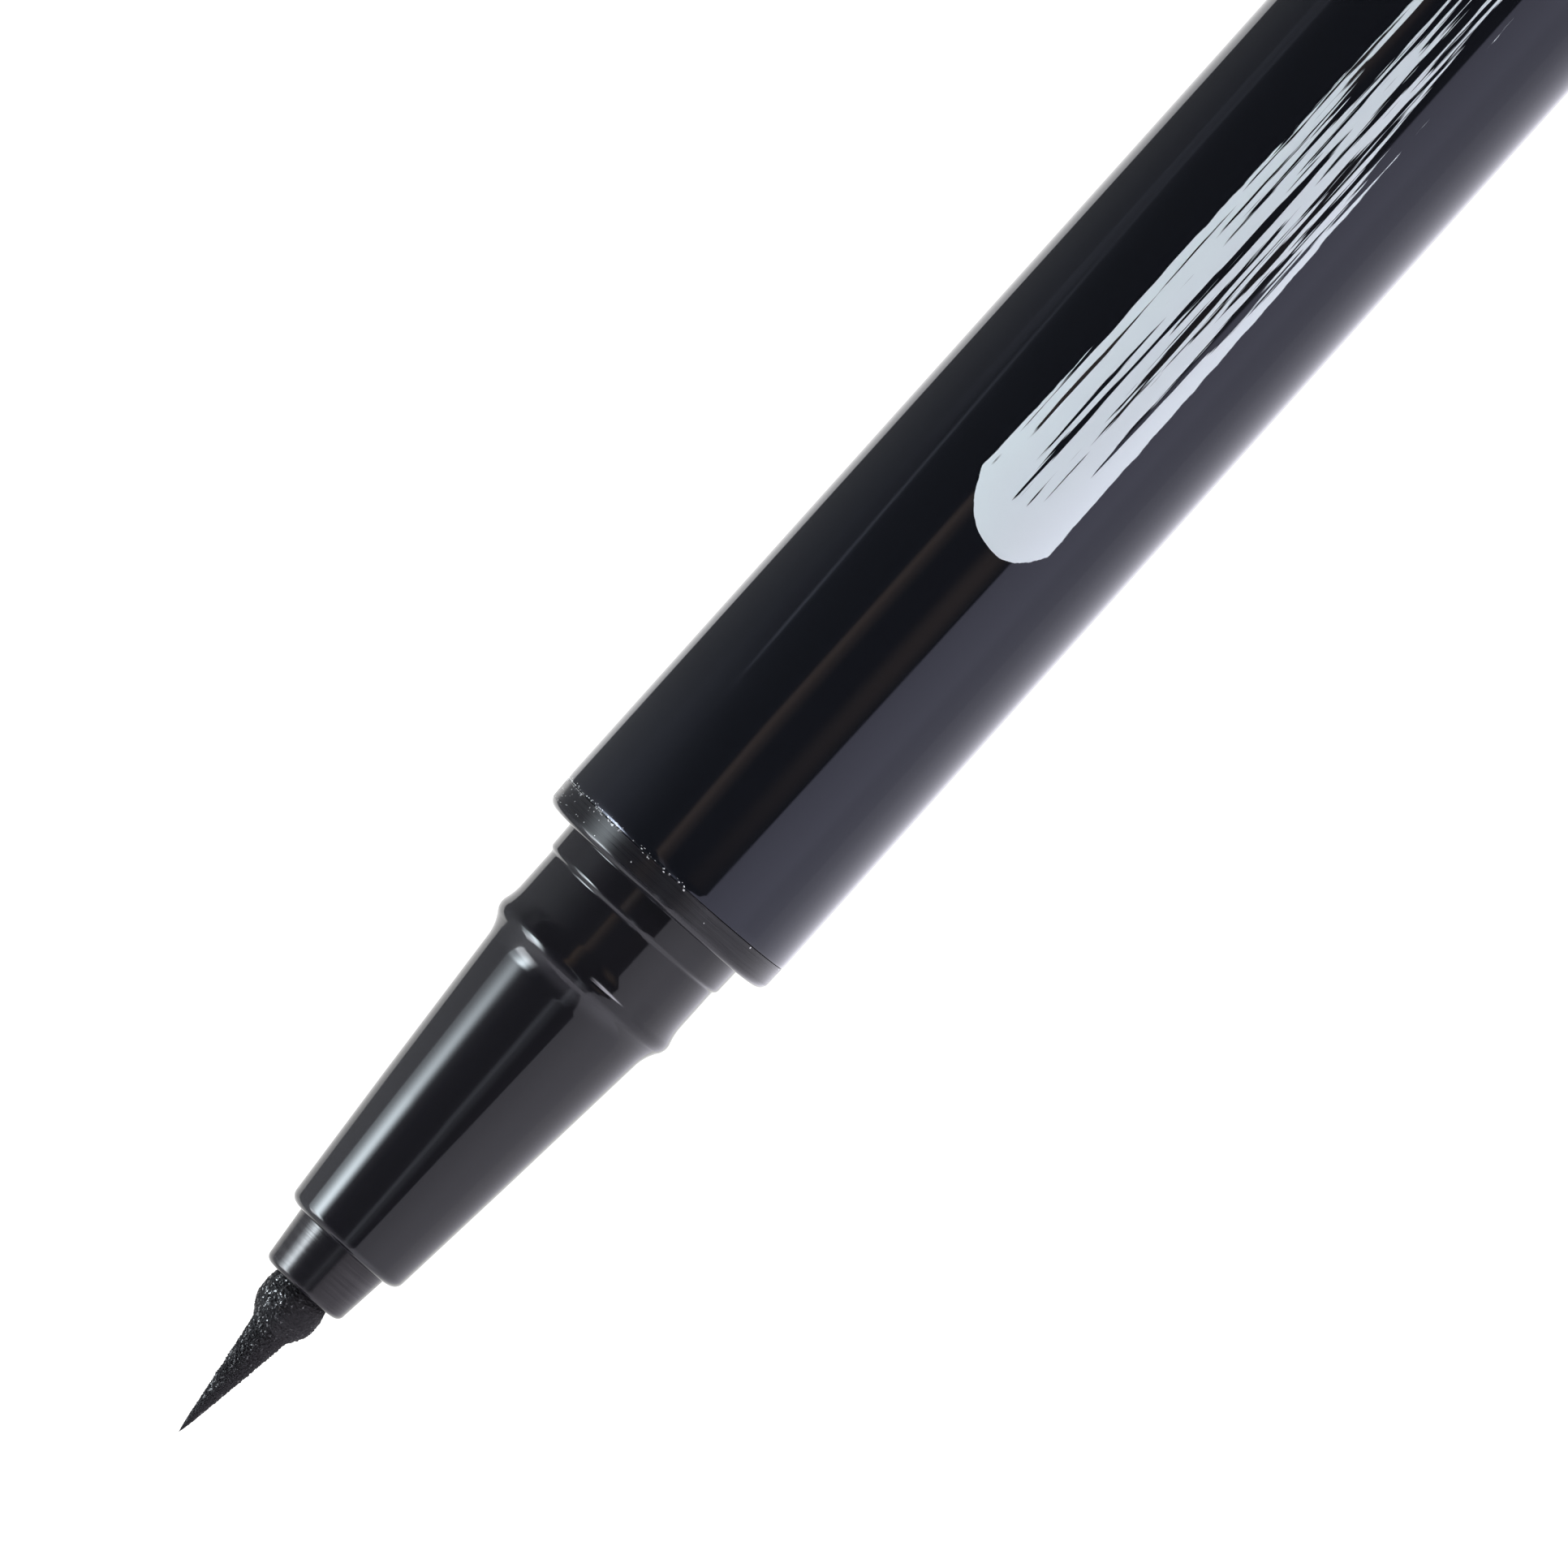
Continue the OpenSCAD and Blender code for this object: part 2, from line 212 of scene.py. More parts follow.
class Nodes:
    """A material's node tree, with short calls for the nodes that are used over and over."""

    def __init__(self, name):
        self.material = bpy.data.materials.new(name)
        self.material.use_nodes = True
        self.tree = self.material.node_tree
        self.shader = self.tree.nodes["Principled BSDF"]
        self.place = self.add("ShaderNodeTexCoord").outputs["Object"]

    def add(self, kind, **settings):
        node = self.tree.nodes.new(kind)
        for key, value in settings.items():
            setattr(node, key, value)
        return node

    def join(self, source, target):
        self.tree.links.new(source, target)

    def axes(self):
        """The place's X, Y and Z, in metres."""
        split = self.add("ShaderNodeSeparateXYZ")
        self.join(self.place, split.inputs["Vector"])
        return split.outputs

    def stretched(self, scale):
        """Object coordinates, in metres, multiplied by a vector."""
        mapping = self.add("ShaderNodeMapping")
        mapping.inputs["Scale"].default_value = scale
        self.join(self.place, mapping.inputs["Vector"])
        return mapping.outputs["Vector"]

    def noise(self, scale, detail=3.0, rough=0.5, stretch=(1, 1, 1)):
        node = self.add("ShaderNodeTexNoise")
        node.inputs["Scale"].default_value = scale
        node.inputs["Detail"].default_value = detail
        node.inputs["Roughness"].default_value = rough
        self.join(self.stretched(stretch), node.inputs["Vector"])
        return node.outputs["Fac"]

    def span(self, value, low, high, to_low=0.0, to_high=1.0):
        """Maps a range of value onto another, clamped."""
        node = self.add("ShaderNodeMapRange")
        self.join(value, node.inputs["Value"])
        limits = {"From Min": low, "From Max": high, "To Min": to_low, "To Max": to_high}
        for socket, number in limits.items():
            node.inputs[socket].default_value = number
        return node.outputs["Result"]

    def math(self, operation, *values):
        """One sum, of numbers or of other nodes' outputs."""
        node = self.add("ShaderNodeMath", operation=operation)
        for socket, value in zip(node.inputs, values):
            if isinstance(value, (int, float)):
                socket.default_value = value
            else:
                self.join(value, socket)
        return node.outputs[0]

    def times(self, first, *others):
        for other in others:
            first = self.math("MULTIPLY", first, other)
        return first

    def plus(self, a, b):
        return self.math("ADD", a, b)

    def minus(self, a, b):
        return self.math("SUBTRACT", a, b)

    def ramp(self, value, stops):
        """A number through (value, number) stops, straight between them."""
        low, high = stops[0][0], stops[-1][0]
        peak = max(number for _, number in stops)
        node = self.add("ShaderNodeValToRGB")
        self.join(self.span(value, low, high), node.inputs["Fac"])
        while len(node.color_ramp.elements) < len(stops):
            node.color_ramp.elements.new(0.5)
        for element, (at, number) in zip(node.color_ramp.elements, stops):
            element.position = (at - low) / (high - low)
            element.color = (*[number / peak] * 3, 1)
        return self.times(node.outputs["Color"], peak)

    def specks(self, per_metre, size):
        """Small crumbs in the cells of a Voronoi grid: 1 inside one, and a random number a cell."""
        ragged = 4.0e-5
        wander = self.add("ShaderNodeTexNoise")
        wander.inputs["Scale"].default_value = per_metre * 3
        self.join(self.place, wander.inputs["Vector"])
        push = self.add("ShaderNodeVectorMath", operation="MULTIPLY_ADD")
        self.join(wander.outputs["Color"], push.inputs[0])
        push.inputs[1].default_value = (ragged, ragged, ragged)
        self.join(self.place, push.inputs[2])
        node = self.add("ShaderNodeTexVoronoi")
        node.inputs["Scale"].default_value = per_metre
        self.join(push.outputs[0], node.inputs["Vector"])
        dot = self.span(node.outputs["Distance"], size, size * 0.6)
        split = self.add("ShaderNodeSeparateColor")
        self.join(node.outputs["Color"], split.inputs["Color"])
        return dot, split.outputs["Red"]

    def mix(self, amount, low, high):
        node = self.add("ShaderNodeMix", data_type="RGBA")
        self.join(amount, node.inputs["Factor"])
        node.inputs["A"].default_value = (*low, 1)
        node.inputs["B"].default_value = (*high, 1)
        return node.outputs["Result"]

    def blend(self, amount, under, over):
        """Mixes a plain colour over one that is already worked out."""
        node = self.add("ShaderNodeMix", data_type="RGBA")
        self.join(amount, node.inputs["Factor"])
        self.join(under, node.inputs["A"])
        node.inputs["B"].default_value = (*over, 1)
        return node.outputs["Result"]

    def bump(self, height, depth):
        node = self.add("ShaderNodeBump")
        node.inputs["Distance"].default_value = depth
        self.join(height, node.inputs["Height"])
        self.join(node.outputs["Normal"], self.shader.inputs["Normal"])

    def set(self, **values):
        for key, value in values.items():
            self.shader.inputs[key.replace("_", " ")].default_value = value


DUST_GREY = (0.045, 0.045, 0.045)
# Pale dust, which also paints glints where it crowds on the left
DUST_AND_GLINT_WHITE = (0.75, 0.75, 0.75)
# White crumbs, which also paint glints where they crowd on the left
CRUMB_AND_GLINT_WHITE = (0.9, 0.9, 0.88)
PRINT_WHITE = (0.90, 0.98, 0.975)


def unrolled(look):
    """X in metres, and the distance round the barrel's skin from its top in millimetres."""
    x, y, z = look.axes()
    turn = look.math("ARCTAN2", look.times(y, -1), look.minus(z, AXIS_Z))
    return x, look.times(turn, BARREL_R)


def printed_stroke(look):
    """1 inside a printed brush stroke: a chiselled start, a long taper and a streaky dry tail."""
    start_s = 44.3
    length = 42.0
    half_width = 2.09
    middle_arc = 0.42
    slant = 0.22
    x, arc = unrolled(look)
    arc = look.minus(arc, middle_arc)
    first = BRUSH_TIP_X + start_s * MM
    slanted = look.plus(x, look.times(arc, slant * MM))
    part = look.span(slanted, first, first + length * MM)
    sway = look.times(look.math("SINE", look.times(part, math.pi * 1.6)), 0.08)
    blunt = look.math("POWER", look.span(part, 0.0, 0.038), 0.4)
    taper = look.math("POWER", look.minus(1.0, part), 0.25)
    wide = look.times(blunt, taper, half_width)
    frayed = look.noise(1, 3, 0.5, (700, 2500, 2500))
    ragged = look.times(look.minus(frayed, 0.5), 0.22)
    off = look.math("ABSOLUTE", look.minus(arc, sway))
    inside = look.minus(look.plus(wide, ragged), off)
    solid = look.span(inside, -0.012, 0.012)
    bristles = look.noise(1, 3, 0.6, (90, 3300, 3300))
    dryness = look.ramp(part, [(0, 0.08), (0.05, 0.34), (0.2, 0.44), (0.5, 0.49), (1.0, 0.62)])
    wet = look.span(look.minus(bristles, dryness), 0.0, 0.025)
    started = look.math("GREATER_THAN", part, 0.0001)
    return look.times(solid, wet, started)


def seam_crumbs_and_glints(look, seam_x):
    """1 in the crumbs caught in the seam round the barrel's mouth; crowding most of them on its left
    paints glints there.
    """
    crumb, luck = look.specks(9500, 0.48)
    x, y, _ = look.axes()
    distance = look.math("ABSOLUTE", look.minus(x, seam_x))
    near = look.math("POWER", look.span(distance, 0.16 * MM, 0.03 * MM), 2.0)
    # More crumbs on the left side, where they stand in for glints of the light: a painted highlight
    glint_crowd = look.span(y, -1.5 * MM, 3.6 * MM, 0.07, 0.85)
    rare = look.minus(1.0, look.times(near, glint_crowd))
    return look.times(crumb, look.math("GREATER_THAN", luck, rare))


def ridge_marks(look, ridge_x):
    """Wear on the snap ridge: small uneven rings that break up its highlights."""
    rings = look.noise(1, 3, 0.6, (7000, 600, 600))
    distance = look.math("ABSOLUTE", look.minus(look.axes()["X"], ridge_x - 0.1 * MM))
    return look.times(rings, look.span(distance, 0.45 * MM, 0.15 * MM, 0.0, 6.0))


def gloss(name, colour, roughness, tint=(1, 1, 1), ior=1.5, dust=0.004, seam_x=None, printed=False,
          ridge_x=None):
    """Polished moulded plastic: a faint waviness, handled patches that are less sharp, and dust."""
    look = Nodes(name)
    patches = look.noise(260, 4, 0.6)
    sheen = look.span(patches, 0.35, 0.7, roughness * 0.8, roughness * 1.5)
    dot, chance = look.specks(3600, 0.09)
    amount = look.times(dot, look.math("GREATER_THAN", chance, 1 - dust))
    plastic = look.mix(amount, colour, DUST_GREY)
    if seam_x is not None:
        plastic = look.blend(seam_crumbs_and_glints(look, seam_x), plastic, CRUMB_AND_GLINT_WHITE)
    if printed:
        ink = printed_stroke(look)
        plastic = look.blend(ink, plastic, PRINT_WHITE)
        sheen = look.math("MAXIMUM", sheen, look.times(ink, 0.35))
        look.bump(ink, 4.0e-6)
    else:
        height = look.noise(240, 2, 0.4, (0.4, 1, 1))
        if ridge_x is not None:
            height = look.plus(height, ridge_marks(look, ridge_x))
        look.bump(height, 2.0e-6)
    look.join(plastic, look.shader.inputs["Base Color"])
    look.join(sheen, look.shader.inputs["Roughness"])
    look.set(IOR=ior, Specular_Tint=(*tint, 1))
    return look.material


def turned_gloss(name, colour, roughness, streak, dust, tint=(1, 1, 1), ior=1.5, stretch=0.0,
                 seam_x=None):
    """Moulded plastic with fine rings from the turned mould, which streak its highlights.

    stretch draws the highlights out round the axis, and pale dust specks crowd on the left, where they
    are also painted glints.
    """
    look = Nodes(name)
    rings = look.noise(900, 5, 0.75, (20, 0.3, 0.3))
    sheen = look.span(rings, 0.3, 0.7, roughness * 0.75, roughness * 1.3)
    shine = look.span(rings, 0.38, 0.64, 0.5 - streak, 0.5 + streak)
    look.join(sheen, look.shader.inputs["Roughness"])
    look.join(shine, look.shader.inputs["Specular IOR Level"])
    dot, chance = look.specks(9500, 0.27)
    # Pale specks crowded on the left side: real dust, and partly a painted glint
    left = look.span(look.axes()["Y"], 0.0, 4.6 * MM)
    glint_crowd = look.times(look.math("POWER", left, 3.0), dust)
    luck = look.plus(chance, look.plus(glint_crowd, dust * 0.08))
    amount = look.times(dot, look.math("GREATER_THAN", luck, 1.0))
    plastic = look.mix(amount, colour, DUST_AND_GLINT_WHITE)
    if seam_x is not None:
        plastic = look.blend(seam_crumbs_and_glints(look, seam_x), plastic, CRUMB_AND_GLINT_WHITE)
    look.join(plastic, look.shader.inputs["Base Color"])
    look.set(IOR=ior, Specular_Tint=(*tint, 1))
    if stretch:
        tangent = look.add("ShaderNodeTangent", direction_type="RADIAL", axis="X")
        look.join(tangent.outputs["Tangent"], look.shader.inputs["Tangent"])
        look.set(Anisotropic=stretch, Anisotropic_Rotation=0.25)
    look.bump(look.noise(5200, 3, 0.6), 5.0e-7)
    return look.material


def fibre(name, colour, pale, scale, dull=0.5, sharp=0.3, quiet=0.4, glint=0.8, depth=1.2e-5,
          ior=1.45, painted_right_grey=None):
    """Bound fibre: a matt grain in which single bristles and pores catch the light.

    The last argument paints light on the right side: a lighter grey there, and fewer glinting flecks.
    """
    look = Nodes(name)
    spots = look.noise(scale * 1.5, 2, 0.5, (0.6, 1, 1))
    if painted_right_grey:
        # Painted light: the right side gets a lighter grey and fewer glinting flecks
        right_side_painted = look.span(look.axes()["Y"], 0.1 * MM, -0.3 * MM)
        spots = look.minus(spots, look.times(right_side_painted, 0.1))
        flecks = look.span(spots, 0.56, 0.63)
        grain = look.blend(flecks, look.mix(right_side_painted, colour, painted_right_grey), pale)
    else:
        flecks = look.span(spots, 0.57, 0.64)
        grain = look.mix(flecks, colour, pale)
    look.join(grain, look.shader.inputs["Base Color"])
    look.join(look.span(flecks, 0.0, 1.0, dull, sharp), look.shader.inputs["Roughness"])
    look.join(look.span(flecks, 0.0, 1.0, quiet, glint), look.shader.inputs["Specular IOR Level"])
    look.set(IOR=ior)
    look.bump(look.noise(scale, 3, 0.6), depth)
    return look.material


def satin(name, colour, roughness=0.4):
    """Plain satin plastic with a fine mould grain and a little unevenness of colour."""
    look = Nodes(name)
    darker = tuple(channel * 0.86 for channel in colour)
    sheen = look.span(look.noise(1500, 3), 0.3, 0.7, roughness * 0.8, roughness * 1.2)
    look.join(look.mix(look.noise(700, 3), colour, darker), look.shader.inputs["Base Color"])
    look.join(sheen, look.shader.inputs["Roughness"])
    look.set(IOR=1.49)
    look.bump(look.noise(4200, 3, 0.6), 3.0e-6)
    return look.material


def steel(name):
    """Polished steel with faint scuffs."""
    look = Nodes(name)
    metal = look.mix(look.noise(900, 4), (0.55, 0.55, 0.55), (0.68, 0.68, 0.68))
    scuffs = look.span(look.noise(2400, 5, 0.7), 0.4, 0.7, 0.06, 0.22)
    look.join(metal, look.shader.inputs["Base Color"])
    look.join(scuffs, look.shader.inputs["Roughness"])
    look.set(Metallic=1.0)
    return look.material


BLACK = (0.0088, 0.0082, 0.0104)
BLUE_BLACK = (0.0050, 0.0055, 0.0073)
BLUE_TINT = (0.80, 0.82, 0.98)
WARM_TINT = (1.0, 0.96, 0.95)
barrel_gloss = gloss("barrel_gloss", BLUE_BLACK, 0.055, BLUE_TINT, 1.6, 0.0015, barrel_low.x, True)
cap_gloss = gloss("cap_gloss", BLUE_BLACK, 0.055, BLUE_TINT, 1.6)
front_gloss = gloss("front_gloss", BLACK, 0.07, ridge_x=BRUSH_TIP_X + RIDGE_S * MM)
collar_satin = turned_gloss("collar_satin", BLACK, 0.33, 0.12, 0.16, stretch=0.97, seam_x=barrel_low.x)
holder_gloss = turned_gloss("holder_gloss", BLACK, 0.20, 0.12, 0.004, WARM_TINT, 1.52)
# The brush's right side is painted a lighter grey, with fewer glints
brush_fibre = fibre(
    "brush_fibre", (0.017, 0.0165, 0.018), (0.032, 0.032, 0.033), 6000, sharp=0.14, quiet=0.06,
    glint=0.95, depth=4.0e-6, ior=1.65, painted_right_grey=(0.034, 0.032, 0.034),
)
felt_fibre = fibre("felt_fibre", (0.006, 0.006, 0.006), (0.02, 0.02, 0.02), 14000)
liner_plastic = satin("liner_plastic", (0.40, 0.40, 0.41))

# ---------------------------------------------------------------- camera

VIEW_TILT = math.radians(1.6)
AXIS_RISE = math.radians(48.11)
FRAME_WIDTH = 57.8 * MM
LENS = 500.0
SENSOR = 36.0
AIM_S = 32.67 * MM
AIM_SIDE = 0.785 * MM


def make_camera():
    """Looks down on the pen, a little from the felt end, with the brush at the lower left."""
    look = Vector((-math.sin(VIEW_TILT), 0, -math.cos(VIEW_TILT)))
    to_barrel = Vector((math.cos(VIEW_TILT), 0, -math.sin(VIEW_TILT)))
    to_side = Vector((0, -1, 0))
    right = math.cos(AXIS_RISE) * to_barrel + math.sin(AXIS_RISE) * to_side
    up = math.sin(AXIS_RISE) * to_barrel - math.cos(AXIS_RISE) * to_side
    aim = Vector((BRUSH_TIP_X, 0, AXIS_Z)) + AIM_S * to_barrel + AIM_SIDE * to_side
    data = bpy.data.cameras.new("camera")
    data.lens, data.sensor_width = LENS, SENSOR
    data.clip_start, data.clip_end = 0.01, 50
    camera = bpy.data.objects.new("camera", data)
    bpy.context.scene.collection.objects.link(camera)
    place = Matrix((right, up, -look)).transposed().to_4x4()
    place.translation = aim - look * FRAME_WIDTH * LENS / SENSOR
    camera.matrix_world = place
    bpy.context.scene.camera = camera


make_camera()

# ---------------------------------------------------------------- the pen's pieces

# A nib holder fills the front of its section's bore, and its flange sits in the step behind
FLANGE_S = NOSE_S + 6.8
FLANGE_END_S = NOSE_S + 8
HOLDER_R = 2.0
FLANGE_R = 2.5
STEM_R = 1.5
HOLDER_BACK = [
    (FLANGE_S, HOLDER_R), (FLANGE_S, FLANGE_R), (FLANGE_END_S, FLANGE_R), (FLANGE_END_S, STEM_R),
    (HOLDER_END_S, STEM_R),
]


def front_section(name, end, spigot_s, spigot_r):
    """Nose, cone, snap ridge, neck, land, collar and spigot, with the bores behind them."""
    nose_r, bend_s, bend_r = 2.595, 15.0, 3.115
    cone_end_s, cone_end_r = RIDGE_S - 0.668, 3.68
    ridge_r, ridge_end_s = 4.154, RIDGE_S + 0.691
    neck_r, neck_end_s = 3.945, COLLAR_S - 1.25
    land_s, land_r, land_end_r = COLLAR_S - 1.10, 4.085, 4.11
    collar_r, collar_end_s, collar_end_r = 5.25, BARREL_S - 0.02, 5.285
    holder_bore, flange_bore, wide_bore = 2.05, 2.52, 3.1
    wide_s = NOSE_S + 11.8
    outline = rounded([
        (NOSE_S, holder_bore), (NOSE_S, nose_r, 0.40), (bend_s, bend_r, 60.0),
        (cone_end_s, cone_end_r, 1.8), (RIDGE_S, ridge_r, 0.65), (ridge_end_s, neck_r, 2.3),
        (neck_end_s, neck_r, 0.14), (land_s, land_r, 0.22), (COLLAR_S, land_end_r, 0.06),
        (COLLAR_S, collar_r, 0.36), (collar_end_s, collar_end_r, 0.04), (collar_end_s, spigot_r),
        (spigot_s, spigot_r), (spigot_s, wide_bore), (wide_s, wide_bore), (wide_s, flange_bore),
        (FLANGE_S, flange_bore), (FLANGE_S, holder_bore),
    ])
    satin_from_s = COLLAR_S + 0.26
    bands = [(satin_from_s, BARREL_S, 1)]
    return lathe(name, outline, end, materials=[front_gloss, collar_satin], bands=bands)


def barrel():
    """The tube, drawn in by a hair towards its middle as a long moulding is."""
    bore = BARREL_R - 0.6
    mouth_r = BARREL_R - 0.029
    shoulder_s, shoulder_r = BARREL_S + 0.065, BARREL_R - 0.009
    full_s = BARREL_S + 0.22
    middle_s, waist_r = (BARREL_S + BARREL_END_S) / 2, BARREL_R - 0.03
    outline = rounded([
        (BARREL_S, bore), (BARREL_S, mouth_r, 0.015), (shoulder_s, shoulder_r, 0.34),
        (full_s, BARREL_R, 3.8), (middle_s, waist_r, 9000.0), (BARREL_END_S, BARREL_R, 0.11),
        (BARREL_END_S, bore),
    ], steps=9)
    return lathe("barrel_tube", outline, materials=[barrel_gloss])


def brush_holder():
    """The short tapered nozzle that grips the brush, with the wick's narrower bore behind it."""
    mouth_r, nose_r = 1.78, 2.035
    nib_bore, wick_bore = 1.26, 0.8
    outline = rounded([
        (HOLDER_S, nib_bore), (HOLDER_S, mouth_r, 0.28), (NOSE_S + 0.1, nose_r, 0.1), *HOLDER_BACK,
        (HOLDER_END_S, wick_bore), (NIB_END_S, wick_bore), (NIB_END_S, nib_bore),
    ])
    return lathe("brush_holder", outline, materials=[holder_gloss])


def felt_holder():
    """The longer, finer nozzle that grips the felt tip."""
    mouth_r, bore = 0.85, 0.57
    outline = rounded([
        (FELT_HOLDER_S, bore), (FELT_HOLDER_S, mouth_r, 0.12), (NOSE_S, HOLDER_R, 0.1), *HOLDER_BACK,
        (HOLDER_END_S, bore),
    ])
    return lathe("felt_holder", outline, "felt", materials=[holder_gloss])


def felt_tip():
    """A hard fibre rod with a short blunt cone."""
    rod_r, point_r, cone_s = 0.55, 0.2, 1.2
    outline = rounded([
        (0, 0), (0, point_r, 0.12), (cone_s, rod_r, 0.3), (FELT_NIB_END_S, rod_r), (FELT_NIB_END_S, 0),
    ], closed=False)
    return lathe("felt_tip", outline, "felt", sides=96, materials=[felt_fibre])


def brush_radius(station):
    """Radius of the brush along its length: a slender point, a swollen base, then the stem."""
    point_long, root_s, bulb_s, stem_s, stem_long = 0.25, 5.05, 6.05, 6.3, 0.75
    point_r, root_r, bulb_r, stem_draw = 0.05, 0.80, 1.28, 0.15
    if station < root_s:
        point = point_r * (1 - math.exp(-station / point_long))
        return point + (root_r - point_r) * station / root_s
    if station < bulb_s:
        swelling = (station - root_s) / (bulb_s - root_s)
        return root_r + (bulb_r - root_r) * math.sin(swelling * math.pi / 2)
    return bulb_r - stem_draw * min(1.0, max(0.0, station - stem_s) / stem_long) ** 2


def bristle_grain(spot):
    """Relief at a place on the brush, in millimetres: middling, fine and coarse noise."""
    return (noise.noise(spot * 13) * 0.6 + noise.noise(spot * 27) * 0.5
            + noise.noise(spot * 5) * 0.2 - 0.25)


def brush_tip():
    """The brush: a rough porous cone of bound bristles that bends a little to one side."""
    sides, rings = 220, 420
    lean, bend_end_s = 0.12, HOLDER_S + 0.2
    bulb_from_s, rough_until_s = 5.5, HOLDER_S + 0.3
    relief, finest_r = 0.075, 0.01
    stations = [rough_until_s * (i / rings) ** 1.15 for i in range(1, rings + 1)] + [NIB_END_S]
    verts = [(BRUSH_TIP_X, -lean * MM, AXIS_Z)]
    for station in stations:
        radius = brush_radius(station)
        bend = lean * max(0.0, 1 - (station / bend_end_s) ** 4)
        rough = min(1.15, radius / 0.45) * (0.85 if station > bulb_from_s else 1.0)
        for j in range(sides):
            a = j * 2 * math.pi / sides
            r = radius
            if station < rough_until_s:
                spot = Vector((station, radius * math.cos(a), radius * math.sin(a)))
                r = max(finest_r, radius + bristle_grain(spot) * relief * rough)
            y = (r * math.cos(a) - bend) * MM
            verts.append((BRUSH_TIP_X + station * MM, y, AXIS_Z + r * MM * math.sin(a)))
    verts.append((BRUSH_TIP_X + NIB_END_S * MM, 0, AXIS_Z))
    faces = [(0, 1 + (j + 1) % sides, 1 + j) for j in range(sides)]
    for i in range(len(stations) - 1):
        a, b = 1 + i * sides, 1 + (i + 1) * sides
        faces += [(a + j, a + (j + 1) % sides, b + (j + 1) % sides, b + j) for j in range(sides)]
    last, base = len(verts) - 1, 1 + (len(stations) - 1) * sides
    faces += [(base + j, base + (j + 1) % sides, last) for j in range(sides)]
    piece = new_piece("brush_tip", verts, faces, [brush_fibre])
    piece.data.polygons.foreach_set("use_smooth", [True] * len(faces))
    return piece


def cap_shell(name, end, slid):
    """A cap's tube, drawn in a little at its rim."""
    bore = BARREL_R - 0.56
    seam_r, rim_r = BARREL_R - 0.01, BARREL_R - 0.035
    full_s = RIM_S - 0.5
    outline = rounded([
        (SHELL_END_S, bore), (SHELL_END_S, seam_r, 0.02), (full_s, BARREL_R, 3.0),
        (RIM_S, rim_r, 0.12), (RIM_S, bore, 0.1),
    ])
    return lathe(name, outline, end, slid, materials=[cap_gloss])


def cap_end(name, end, slid):
    """A cap's closed end: a rounded disc with a hollow plug that holds it in the tube."""
    plug_r, plug_long, plug_wall = BARREL_R - 0.58, 3, 0.8
    seat_s = SHELL_END_S - 0.02
    plug_s, plug_bore = seat_s + plug_long, plug_r - plug_wall
    outline = rounded([
        (CLOSED_S, 0), (CLOSED_S, BARREL_R, 0.9), (seat_s, BARREL_R, 0.03), (seat_s, plug_r),
        (plug_s, plug_r, 0.1), (plug_s, plug_bore), (seat_s, plug_bore), (seat_s, 0),
    ], closed=False)
    return lathe(name, outline, end, slid, materials=[cap_gloss])


def place(piece, body, slot, *nodes):
    """Puts a finished piece on its body, in the place of its CAD node."""
    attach(piece, body)
    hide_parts(*nodes)


SPIGOTS = {"brush": (BRUSH_SPIGOT_S, 3.95), "felt": (FELT_SPIGOT_S, BARREL_R - 0.62)}
place(barrel(), "pen", "barrel_gloss", "barrel")
for end, (spigot_s, spigot_r) in SPIGOTS.items():
    section = front_section(end + "_front", end, spigot_s, spigot_r)
    place(section, "pen", "front_gloss", end + "_front_section")
place(brush_holder(), "pen", "holder_gloss", "brush_nib_holder")
place(felt_holder(), "pen", "holder_gloss", "felt_nib_holder")
place(brush_tip(), "pen", "brush_fibre", "brush_nib")
place(felt_tip(), "pen", "felt_fibre", "felt_nib")
for end, slid in (("brush", CAP_SLID), ("felt", 0.0)):
    place(cap_shell(end + "_cap_tube", end, slid), end + "_cap", "cap_gloss", end + "_cap_shell")
    place(cap_end(end + "_cap_disc", end, slid), end + "_cap", "cap_gloss", end + "_cap_end")

CAD_LOOKS = {
    "feed_wick": fibre("wick_fibre", (0.62, 0.60, 0.54), (0.75, 0.73, 0.68), 9000),
    "ink_collector": satin("collector_plastic", (0.66, 0.66, 0.63)),
    "ink_tank": satin("tank_plastic", (0.55, 0.57, 0.60), 0.3),
    "tank_seal": satin("seal_rubber", (0.02, 0.02, 0.02), 0.6),
    "mixing_ball": steel("ball_steel"),
    "partition_plug": satin("plug_plastic", (0.65, 0.65, 0.63)),
    "felt_reservoir": fibre("reservoir_fibre", (0.04, 0.04, 0.045), (0.08, 0.08, 0.09), 6000),
    "reservoir_film": satin("film_plastic", (0.72, 0.72, 0.75), 0.2),
    "brush_cap_liner": liner_plastic,
    "felt_cap_liner": liner_plastic,
}
for name, look in CAD_LOOKS.items():
    mesh = frame["nodes"][name].data
    mesh.materials.clear()
    mesh.materials.append(look)

# ---------------------------------------------------------------- floor and light

# The tent in millimetres, its ends along the pen from the brush's tip
TENT_R = 160.0
TENT_ENDS = (-300.0, 400.0)
FLOOR_WHITE = 1.28
BOUNCE_WHITE = 1.18


